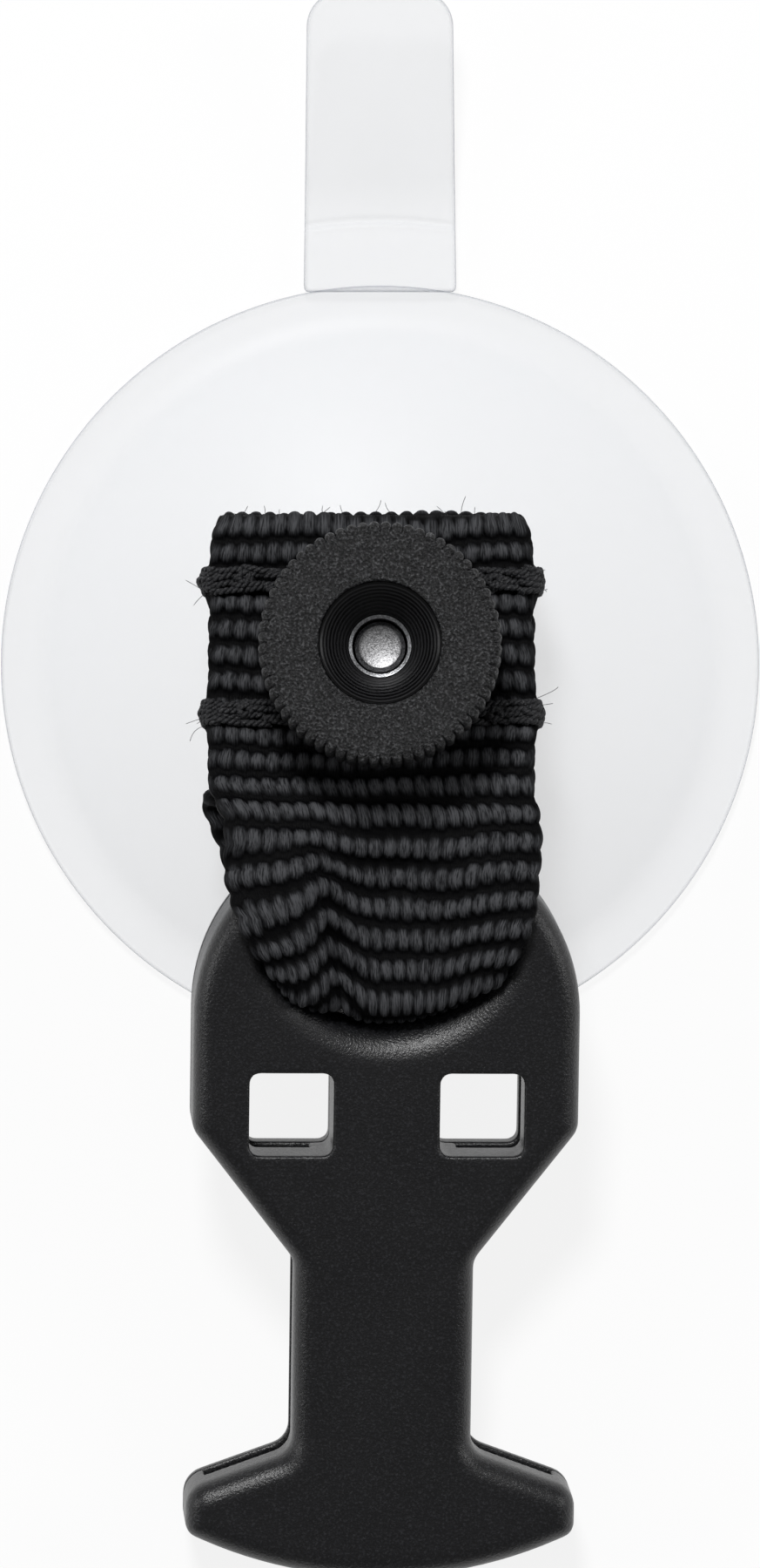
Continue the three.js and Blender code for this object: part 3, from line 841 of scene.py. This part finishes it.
web = dict(
    width=25.0,
    thick=1.3,
    row=2.03,
    floatWidth=1.18,
    relief=0.58,
    above=10.8,
    below=9.6,
    front=-0.6,
    rear=-1.9,
    sewn=-0.65,
    gap=0.3,
    pull=0.95,
    stepAcross=0.175,
    stepAlong=0.215,
    innerStep=2,
    stitches=(5.4, -4.85),
    loopRow=1.16,
)


def catmullRom(stations, samples):
    # centripetal curve through stations (count, columns, 3), sampled densely
    count = len(stations)
    out = []
    for k in range(count - 1):
        p1, p2 = stations[k], stations[k + 1]
        p0 = stations[k - 1] if k else 2 * p1 - p2
        p3 = stations[k + 2] if k + 2 < count else 2 * p2 - p1
        d = [np.linalg.norm(b - a, axis=1, keepdims=True) ** 0.5 for a, b in ((p0, p1), (p1, p2), (p2, p3))]
        d = [np.maximum(x, 1e-4) for x in d]
        t1 = ((p1 - p0) / d[0] - (p2 - p0) / (d[0] + d[1]) + (p2 - p1) / d[1]) * d[1]
        t2 = ((p2 - p1) / d[1] - (p3 - p1) / (d[1] + d[2]) + (p3 - p2) / d[2]) * d[1]
        c2 = -3 * p1 + 3 * p2 - 2 * t1 - t2
        c3 = 2 * p1 - 2 * p2 + t1 + t2
        for i in range(samples):
            f = i / samples
            out.append(p1 + t1 * f + c2 * f * f + c3 * f**3)
    out.append(stations[-1])
    return np.array(out)


def strapStations(t):
    # middle line of the webbing for each place t across it, from the middle layer round to the loop's end
    w = web
    half = w["width"] / 2
    lie = w["thick"] / 2 + w["gap"]
    shape = slotShape
    top = sewnTop - w["thick"] / 2
    middle = (sewnBase + sewnTop) / 2
    bottom = sewnBase + w["thick"] / 2
    startY = studY - w["below"] - w["gap"]
    full = np.ones_like(t)
    flat = lambda y, z: np.stack([studX + w["sewn"] + half * t, full * y, full * z], axis=1)
    foldY = studY + w["above"] - 1.0
    foldR = (top - middle) / 2
    stations = [flat(studY - 3.0, middle), flat(studY + 2, middle), flat(foldY - 1.2, middle)]
    for a in (-0.6, 0.0, 0.6):
        stations.append(flat(foldY + 0.35 * math.cos(a), middle + foldR + foldR * math.sin(a * 1.4)))
    stations += [flat(foldY - 1.2, top), flat(studY + 5, top), flat(studY, top), flat(studY - 5.2, top)]
    stations += [flat(studY - 7.8, top + 0.3), flat(startY - 0.7, top + 1.1)]

    halfThick = clip["half"]
    spreadU = lambda share, shift: half * share * t + shift
    angle = shape["angle"] * 0.88 * t
    line = shape["radius"] + w["pull"]
    slotU, slotV = line * np.sin(angle), shape["centre"] - line * np.cos(angle)
    nearU = lambda share: slotU * (1 - share) + half * t * share
    nearV = lambda share, v: slotV * (1 - share) + v * share

    def archDrop(u, v):
        # how far the strap sinks beside the clip's arch, where nothing carries it
        beyond = np.hypot(u, v - 0.6) - 12.6
        x = np.clip(beyond / 5.0, 0, 1)
        return 2.3 * x * x * (3 - 2 * x)

    def front(u, v):
        height = halfThick - saddleDepthAt(u, v) - archDrop(u, v) + lie + w["gap"]
        return onClip(np.stack([u, v, height], axis=1))

    def place(u, v, height):
        return onClip(np.stack([u, v, full * height], axis=1))

    u0 = spreadU(0.99, w["front"])
    stations.append(place(u0, full * 15.6, halfThick - float(saddleDepthAt(0, 15)) + lie + 0.1))
    stations.append(front(spreadU(0.98, w["front"]), full * 11.5))
    stations.append(front(nearU(0.75) + w["front"] / 2, nearV(0.75, 8.2)))
    stations.append(place(nearU(0.3), nearV(0.2, 3.0), halfThick - saddleDepthAt(0, 1.5) + lie * 0.4))
    stations.append(place(slotU, slotV, 0.6))
    stations.append(place(slotU, slotV, -halfThick + 1))
    stations.append(place(nearU(0.3), nearV(0.3, 4.2), -halfThick - lie))
    stations.append(place(nearU(0.7) + w["rear"] / 3, nearV(0.7, 8.2), -halfThick - lie))
    stations.append(place(spreadU(0.94, w["rear"] * 0.55), full * 12.0, -halfThick - lie))
    stations.append(place(spreadU(0.98, w["rear"]), full * 16.2, -halfThick - lie + 0.3))
    stations += [flat(startY - 1.2, bottom), flat(startY, bottom)]
    stations += [flat(studY - 4, bottom), flat(studY + 3, bottom)]
    stations += [flat(studY + w["above"] - 0.6, bottom)]
    return np.array(stations)


def evenAlong(points, count):
    # the same curves with their samples evenly spaced along each one
    lengths = np.linalg.norm(np.diff(points, axis=0), axis=2)
    travelled = np.concatenate([np.zeros((1, points.shape[1])), np.cumsum(lengths, axis=0)])
    out = np.zeros((count, points.shape[1], 3))
    for j in range(points.shape[1]):
        wanted = np.linspace(0, travelled[-1, j], count)
        for axis in range(3):
            out[:, j, axis] = np.interp(wanted, travelled[:, j], points[:, j, axis])
    return out, float(travelled[-1, points.shape[1] // 2])


def ribRelief(along, across):
    # rows of plump floats that touch at their widest, each row a little aside from the last
    w = web
    row = np.floor(along / w["row"])
    v = along / w["row"] - row
    column = np.floor(across / w["floatWidth"] + 0.37 * row)
    chance = np.sin(row * 12.9898 + column * 78.233) * 43758.5453
    chance = chance - np.floor(chance)
    u = across / w["floatWidth"] + 0.37 * row - column
    top, bottom = 0.02 + 0.08 * chance, 0.78 + 0.1 * (1 - chance)
    rise = np.clip((v - top) / (bottom - top), 0, 1)
    envelope = np.sin(np.pi * rise) ** 0.42
    widthAt = 0.5 + 0.64 * np.sin(np.pi * rise) ** 0.6
    side = np.clip(np.abs(u - 0.5) * 2 / widthAt, 0, 1)
    return envelope * np.sqrt(np.clip(1 - side**2, 0, 1)) * (0.82 + 0.18 * chance)


# the fold where the strap gathers into the slot: bumps as place from the line, width and height
fold = dict(
    lineX=-4.6,
    slope=0.145,
    lineDepth=18.2,
    ends=28.6,
    valley=(0.5, 0.75, -1.0),
    hump=(-1.9, 1.6, 0.75),
    crest=(2.4, 1.2, 0.2),
)
edgeShape = dict(bulge=0.75, bulgeWidth=1.1, corner=-0.9, cornerStart=8.4)


def makeWebbing():
    w = web
    columns = int(round(w["width"] / w["stepAcross"])) // 4 * 4 + 1
    t = np.linspace(-1, 1, columns)
    dense = catmullRom(strapStations(t), 24)
    lengths = float(np.linalg.norm(np.diff(dense[:, columns // 2], axis=0), axis=1).sum())
    rows = int(round(lengths / w["stepAlong"])) // 4 * 4 + 1
    middle, length = evenAlong(dense, rows)
    along = np.linspace(0, length, rows)[:, None] * np.ones((1, columns))
    across = (t * w["width"] / 2)[None, :] * np.ones((rows, 1))

    # the edges wander a little, and pull in between the stitches
    wander = 0.14 * np.sin(along / 4.1 + 0.7) + 0.3 * np.abs(np.sin(np.pi * along / w["row"])) ** 0.7 - 0.2
    sewnY = middle[:, :, 1] - studY
    sewnPart = (middle[:, :, 1] > studY - w["below"]).astype(float)
    e = edgeShape
    bulge = sum(e["bulge"] * np.exp(-(((sewnY - offset) / e["bulgeWidth"]) ** 2)) for offset in w["stitches"])
    corner = e["corner"] * np.clip((sewnY - e["cornerStart"]) / 2.2, 0, 1) ** 2
    wander += (bulge + corner) * sewnPart
    middle[:, :, 0] += np.sign(t)[None, :] * np.abs(t)[None, :] ** 5 * wander
    ds = np.gradient(middle, axis=0)
    dt = np.gradient(middle, axis=1)
    normal = np.cross(ds, dt)
    normal /= np.linalg.norm(normal, axis=2, keepdims=True)

    # the fold's line runs down towards the middle
    local = middle - np.array([studX, studY, 0])
    onFront = (local[:, :, 2] > 13.0).astype(float)
    depth = -local[:, :, 1]
    foldX = fold["lineX"] + fold["slope"] * (depth - fold["lineDepth"])
    aside = local[:, :, 0] - foldX
    starts = np.clip((depth - 14.0) / 4.0, 0, 1) * onFront
    deepens = np.clip((depth - 18.5) / 4.0, 0, 1) * onFront
    fade = np.clip((fold["ends"] - depth) / 2.5, 0, 1)
    folded = np.zeros_like(depth)
    for name, share in (("valley", deepens), ("hump", starts), ("crest", deepens)):
        place, wide, high = fold[name]
        folded += high * (np.exp(-(((aside - place) / wide) ** 2)) * share)
    folded *= fade
    leftOf = np.clip(-aside, 0, 9)
    lift = np.exp(-((aside / 1.7) ** 2)) * starts
    rowShift = 1.0 * lift - (0.11 * starts + 0.3 * deepens) * leftOf

    stepLength = length / (rows - 1)
    inLoop = np.clip((depth - 8.0) / 3.0, 0, 1)
    rowPlace = np.cumsum(stepLength * (1 - inLoop + inLoop / w["loopRow"]), axis=0)

    edge = np.clip((np.abs(t) - 0.93) / 0.07, 0, 1)[None, :]
    taper = np.sqrt(np.clip(1 - edge**2 * 0.97, 0, 1))
    sway = 0.16 * np.sin(across * 0.31 + along * 0.21) + 0.07 * np.sin(across * 0.9)
    relief = ribRelief(rowPlace + sway + rowShift, across) * (0.45 + 0.55 * (1 - edge))
    nearStitch = np.zeros_like(relief)
    for offset in w["stitches"]:
        nearStitch += np.exp(-(((local[:, :, 1] - offset) / 0.8) ** 2)) * (local[:, :, 2] > 14.5)
    outerHeight = (w["thick"] / 2 - w["relief"] * 0.45) * taper + w["relief"] * relief * (1 - 0.75 * nearStitch)
    outerHeight = outerHeight - 0.22 * nearStitch + folded
    outer = middle + normal * outerHeight[:, :, None]
    step = w["innerStep"]
    innerHeight = (w["thick"] / 2 - 0.2) * taper + 0.3 * relief - folded
    inner = (middle - normal * innerHeight[:, :, None])[::step, ::step]

    innerRows, innerColumns = inner.shape[:2]
    points = np.concatenate([outer.reshape(-1, 3), inner.reshape(-1, 3)])
    base = rows * columns
    o = lambda i, j: i * columns + j
    n = lambda i, j: base + i * innerColumns + j
    faces = []
    for i in range(rows - 1):
        for j in range(columns - 1):
            faces.append((o(i, j), o(i, j + 1), o(i + 1, j + 1), o(i + 1, j)))
    for i in range(innerRows - 1):
        for j in range(innerColumns - 1):
            faces.append((n(i, j), n(i + 1, j), n(i + 1, j + 1), n(i, j + 1)))
        for j, fine in ((0, 0), (innerColumns - 1, columns - 1)):
            strip = [o(step * i + k, fine) for k in range(step + 1)] + [n(i + 1, j), n(i, j)]
            faces.append(tuple(strip if j else strip[::-1])[::-1])
    for j in range(innerColumns - 1):
        for i, fine in ((0, 0), (innerRows - 1, rows - 1)):
            strip = [o(fine, step * j + k) for k in range(step + 1)] + [n(i, j + 1), n(i, j)]
            faces.append(tuple(strip if i else strip[::-1]))
    obj = pieceFrom("strap_webbing", points, faces)
    mesh = obj.data
    uvs = np.concatenate([
        np.stack([across, along], axis=2).reshape(-1, 2),
        np.stack([across, along], axis=2)[::step, ::step].reshape(-1, 2),
    ])
    loops = np.zeros(len(mesh.loops), dtype=np.int32)
    mesh.loops.foreach_get("vertex_index", loops)
    layer = mesh.uv_layers.new(name="strap")
    layer.data.foreach_set("uv", uvs[loops].astype(np.float32).ravel())
    # the relief height is kept on the mesh for the material, which paints shade into the gaps between the
    # floats with it
    shade = mesh.attributes.new("relief", "FLOAT", "POINT")
    values = np.concatenate([relief.ravel(), relief[::step, ::step].ravel()])
    shade.data.foreach_set("value", values.astype(np.float32))
    selectOnly(obj)
    bpy.ops.object.mode_set(mode="EDIT")
    bpy.ops.mesh.select_all(action="SELECT")
    bpy.ops.mesh.normals_make_consistent(inside=False)
    bpy.ops.object.mode_set(mode="OBJECT")
    shadeSmooth(obj)
    finishPiece(obj, webMaterial, "webbing", None, "strap_anchor", "strap_loop")
    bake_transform(obj)
    return obj


makeWebbing()
print("webbing made")


def threadPiece(name, runs, radius, body, *nodes):
    # one mesh of round threads, each run a list of points in millimetres
    curve = bpy.data.curves.new(name, "CURVE")
    curve.dimensions = "3D"
    curve.bevel_depth = radius * mm
    curve.bevel_resolution = 2
    curve.resolution_u = 4
    curve.use_fill_caps = True
    for run in runs:
        spline = curve.splines.new("NURBS")
        spline.points.add(len(run) - 1)
        for point, place in zip(spline.points, run):
            point.co = (place[0] * mm, place[1] * mm, place[2] * mm, 1)
        spline.order_u = 3
        spline.use_endpoint_u = True
    obj = bpy.data.objects.new(name, curve)
    bpy.context.collection.objects.link(obj)
    selectOnly(obj)
    bpy.ops.object.convert(target="MESH")
    obj = bpy.context.object
    shadeSmooth(obj)
    return finishPiece(obj, threadMaterial, "thread", body, *nodes)


stitch = dict(
    lanes=(-0.7, -0.22, 0.26, 0.72),
    length=2.3,
    radius=0.17,
    ply=0.15,
    twist=0.95,
    rise=0.24,
    knots=((-0.74, 0.2), (0.72, -0.1)),
)


def twisted(path, phase=0.0):
    # two plies wound round a path of points
    s = stitch
    path = np.asarray(path, float)
    steps = np.linalg.norm(np.diff(path, axis=0), axis=1)
    travelled = np.concatenate([[0], np.cumsum(steps)])
    count = max(4, int(travelled[-1] / 0.2))
    wanted = np.linspace(0, travelled[-1], count)
    line = np.stack([np.interp(wanted, travelled, path[:, k]) for k in range(3)], axis=1)
    along = np.gradient(line, axis=0)
    along /= np.linalg.norm(along, axis=1, keepdims=True)
    side = np.cross(along, np.array([0.0, 1.0, 0.0]))
    side /= np.maximum(np.linalg.norm(side, axis=1, keepdims=True), 1e-6)
    up = np.cross(side, along)
    runs = []
    for turn in (0.0, math.pi):
        a = (wanted / s["twist"] * 2 * math.pi + turn + phase)[:, None]
        runs.append((line + s["ply"] * (np.cos(a) * side + np.sin(a) * up)).tolist())
    return runs


def makeStitchRow(name, offset, node):
    s = stitch
    y0 = studY + offset
    x0 = studX + web["sewn"]
    edge = web["width"] / 2 + 0.75
    top, bottom = sewnTop + 0.14, sewnBase - 0.12
    runs = []
    for shift in s["lanes"]:
        x = -edge + 0.4 + rng.uniform(0, 0.8)
        while x < edge - 1.2:
            length = s["length"] * rng.uniform(0.75, 1.25)
            lean = rng.uniform(-0.5, 0.5)
            y = y0 + shift + rng.uniform(-0.16, 0.16)
            end = min(x + length, edge - 0.2)
            rise = s["rise"] * rng.uniform(0.6, 1.5)
            p = [
                (x0 + x, y - lean / 2, top - 0.35),
                (x0 + x * 0.82 + end * 0.18, y - lean / 3, top + rise * 0.7),
                (x0 + (x + end) / 2, y, top + rise),
                (x0 + x * 0.18 + end * 0.82, y + lean / 3, top + rise * 0.7),
                (x0 + end, y + lean / 2, top - 0.35),
            ]
            runs += twisted(p, rng.uniform(0, 6))
            x = end - 0.3
    for share, aside in s["knots"]:
        for k in range(6):
            a = k * 2.4 + offset
            x, y = x0 + share * edge + 0.4 * math.cos(a), y0 + aside + 0.35 * math.sin(a)
            p = [
                (x - 0.6 * math.sin(a), y + 0.6 * math.cos(a), top - 0.1),
                (x, y, top + 0.5),
                (x + 0.6 * math.sin(a), y - 0.6 * math.cos(a), top - 0.1),
            ]
            runs += twisted(p, k)
    for side in (-1, 1):
        for lane in (-0.75, -0.38, 0.0, 0.38, 0.75):
            y = y0 + lane
            out = edge - 0.05 - 0.35 * abs(lane) + rng.uniform(-0.04, 0.12)
            p = [
                (side * (edge - 1.6), y, top - 0.1),
                (side * (edge - 0.7), y + 0.08, top + 0.2),
                (side * out, y + 0.06, top - 0.5),
                (side * (out + 0.05), y + 0.02, (top + bottom) / 2),
                (side * out, y - 0.04, bottom + 0.4),
                (side * (edge - 0.8), y - 0.06, bottom - 0.1),
                (side * (edge - 1.7), y - 0.05, bottom + 0.05),
            ]
            runs += twisted([(x0 + x, yy, z) for x, yy, z in p], lane)
    return threadPiece(name, runs, s["radius"], "strap", node)


makeStitchRow("stitches_upper", web["stitches"][0], "stitch_row_upper")
makeStitchRow("stitches_lower", web["stitches"][1], "stitch_row_lower")


fibre = dict(count=26, radius=0.022, length=(0.8, 2.2))


def makeFibres():
    # thin ends that stand out of the fold, the edges and the stitches
    runs = []
    half = web["width"] / 2
    for k in range(fibre["count"]):
        length = rng.uniform(*fibre["length"])
        if k % 2:
            side = rng.choice((-1.0, 1.0))
            y = rng.choice(web["stitches"]) + rng.uniform(-1.2, 1.2)
            x = studX + web["sewn"] + side * (half + 0.3)
            start = np.array([x, studY + y, sewnTop - rng.uniform(0.2, 1.4)])
            out = np.array([side * rng.uniform(0.3, 0.7), rng.uniform(-0.8, 0.8), rng.uniform(-0.1, 0.5)])
        else:
            x = studX + web["sewn"] + rng.uniform(-half + 1.5, half - 1.5)
            start = np.array([x, studY + web["above"] - 0.4, sewnTop - rng.uniform(0.6, 1.6)])
            out = np.array([rng.uniform(-1.0, 1.0), rng.uniform(0.15, 0.55), rng.uniform(0.0, 0.4)])
        out *= length / np.linalg.norm(out)
        bend = rng.uniform(-0.35, 0.35, 3) * length
        runs.append([start.tolist(), (start + out * 0.5 + bend).tolist(), (start + out).tolist()])
    return threadPiece("loose_fibres", runs, fibre["radius"], "strap")


makeFibres()
print("stitches made")


def makeFloor():
    deselectAll()
    bpy.ops.mesh.primitive_plane_add(size=3.0, location=(0, 0, -0.0001))
    floor = bpy.context.object
    floor.name = "floor"
    material, tree, shader = newMaterial("white_floor", Roughness=0.9, Specular_IOR_Level=0.1)
    shader.inputs["Base Color"].default_value = (0.93, 0.93, 0.93, 1)
    white = addNode(tree, "ShaderNodeEmission", {"Color": (1, 1, 1, 1), "Strength": 1.0})
    path = addNode(tree, "ShaderNodeLightPath")
    share = addNode(tree, "ShaderNodeMath", {1: 0.85}, operation="MULTIPLY")
    anyRay = addNode(tree, "ShaderNodeMath", operation="MAXIMUM")
    seenRay = addNode(tree, "ShaderNodeMath", operation="MAXIMUM")
    tree.links.new(path.outputs["Is Camera Ray"], anyRay.inputs[0])
    tree.links.new(path.outputs["Is Glossy Ray"], anyRay.inputs[1])
    tree.links.new(anyRay.outputs[0], seenRay.inputs[0])
    tree.links.new(path.outputs["Is Transmission Ray"], seenRay.inputs[1])
    tree.links.new(seenRay.outputs[0], share.inputs[0])
    mix = addNode(tree, "ShaderNodeMixShader")
    tree.links.new(share.outputs[0], mix.inputs["Fac"])
    tree.links.new(shader.outputs["BSDF"], mix.inputs[1])
    tree.links.new(white.outputs["Emission"], mix.inputs[2])
    tree.links.new(mix.outputs["Shader"], tree.nodes["Material Output"].inputs["Surface"])
    floor.data.materials.append(material)


def areaLight(name, place, target, size, power):
    light = bpy.data.lights.new(name, "AREA")
    light.shape = "DISK"
    light.size = size
    light.energy = power
    obj = bpy.data.objects.new(name, light)
    obj.location = place
    direction = Vector(target) - Vector(place)
    obj.rotation_euler = direction.to_track_quat("-Z", "Y").to_euler()
    bpy.context.collection.objects.link(obj)


lights = dict(
    key=((-0.12, 0.56, 0.92), 0.24, 8.8),
    fill=((0.9, 0.15, 0.5), 0.4, 2.2),
    side=((-0.9, 0.05, 0.45), 0.4, 1.8),
)


def makeLights():
    for name, (place, size, power) in lights.items():
        areaLight(name, place, (0, 0, 0.01), size, power)
    world = bpy.data.worlds.new("studio")
    bpy.context.scene.world = world
    world.use_nodes = True
    tree = world.node_tree
    background = tree.nodes["Background"]
    background.inputs["Color"].default_value = (1, 1, 1, 1)
    path = addNode(tree, "ShaderNodeLightPath")
    strength = spread(tree, path.outputs["Is Camera Ray"], 0.2, 1.0)
    tree.links.new(strength, background.inputs["Strength"])


view = dict(frameHeight=0.1239, distance=0.75, tilt=math.radians(2.9), target=(0, 0.00015, 0.001))


def makeCamera():
    distance, tilt = view["distance"], view["tilt"]
    target = Vector(view["target"])
    camera = bpy.data.cameras.new("camera")
    camera.sensor_fit = "VERTICAL"
    camera.sensor_height = 36
    camera.lens = 36 * distance / view["frameHeight"]
    camera.clip_start = 0.01
    obj = bpy.data.objects.new("camera", camera)
    obj.location = target + Vector((0, -math.sin(tilt), math.cos(tilt))) * distance
    obj.rotation_euler = (tilt, 0, 0)
    bpy.context.collection.objects.link(obj)
    bpy.context.scene.camera = obj


makeFloor()
makeLights()
makeCamera()
bpy.context.scene.view_settings.view_transform = "Standard"
print("stage made")
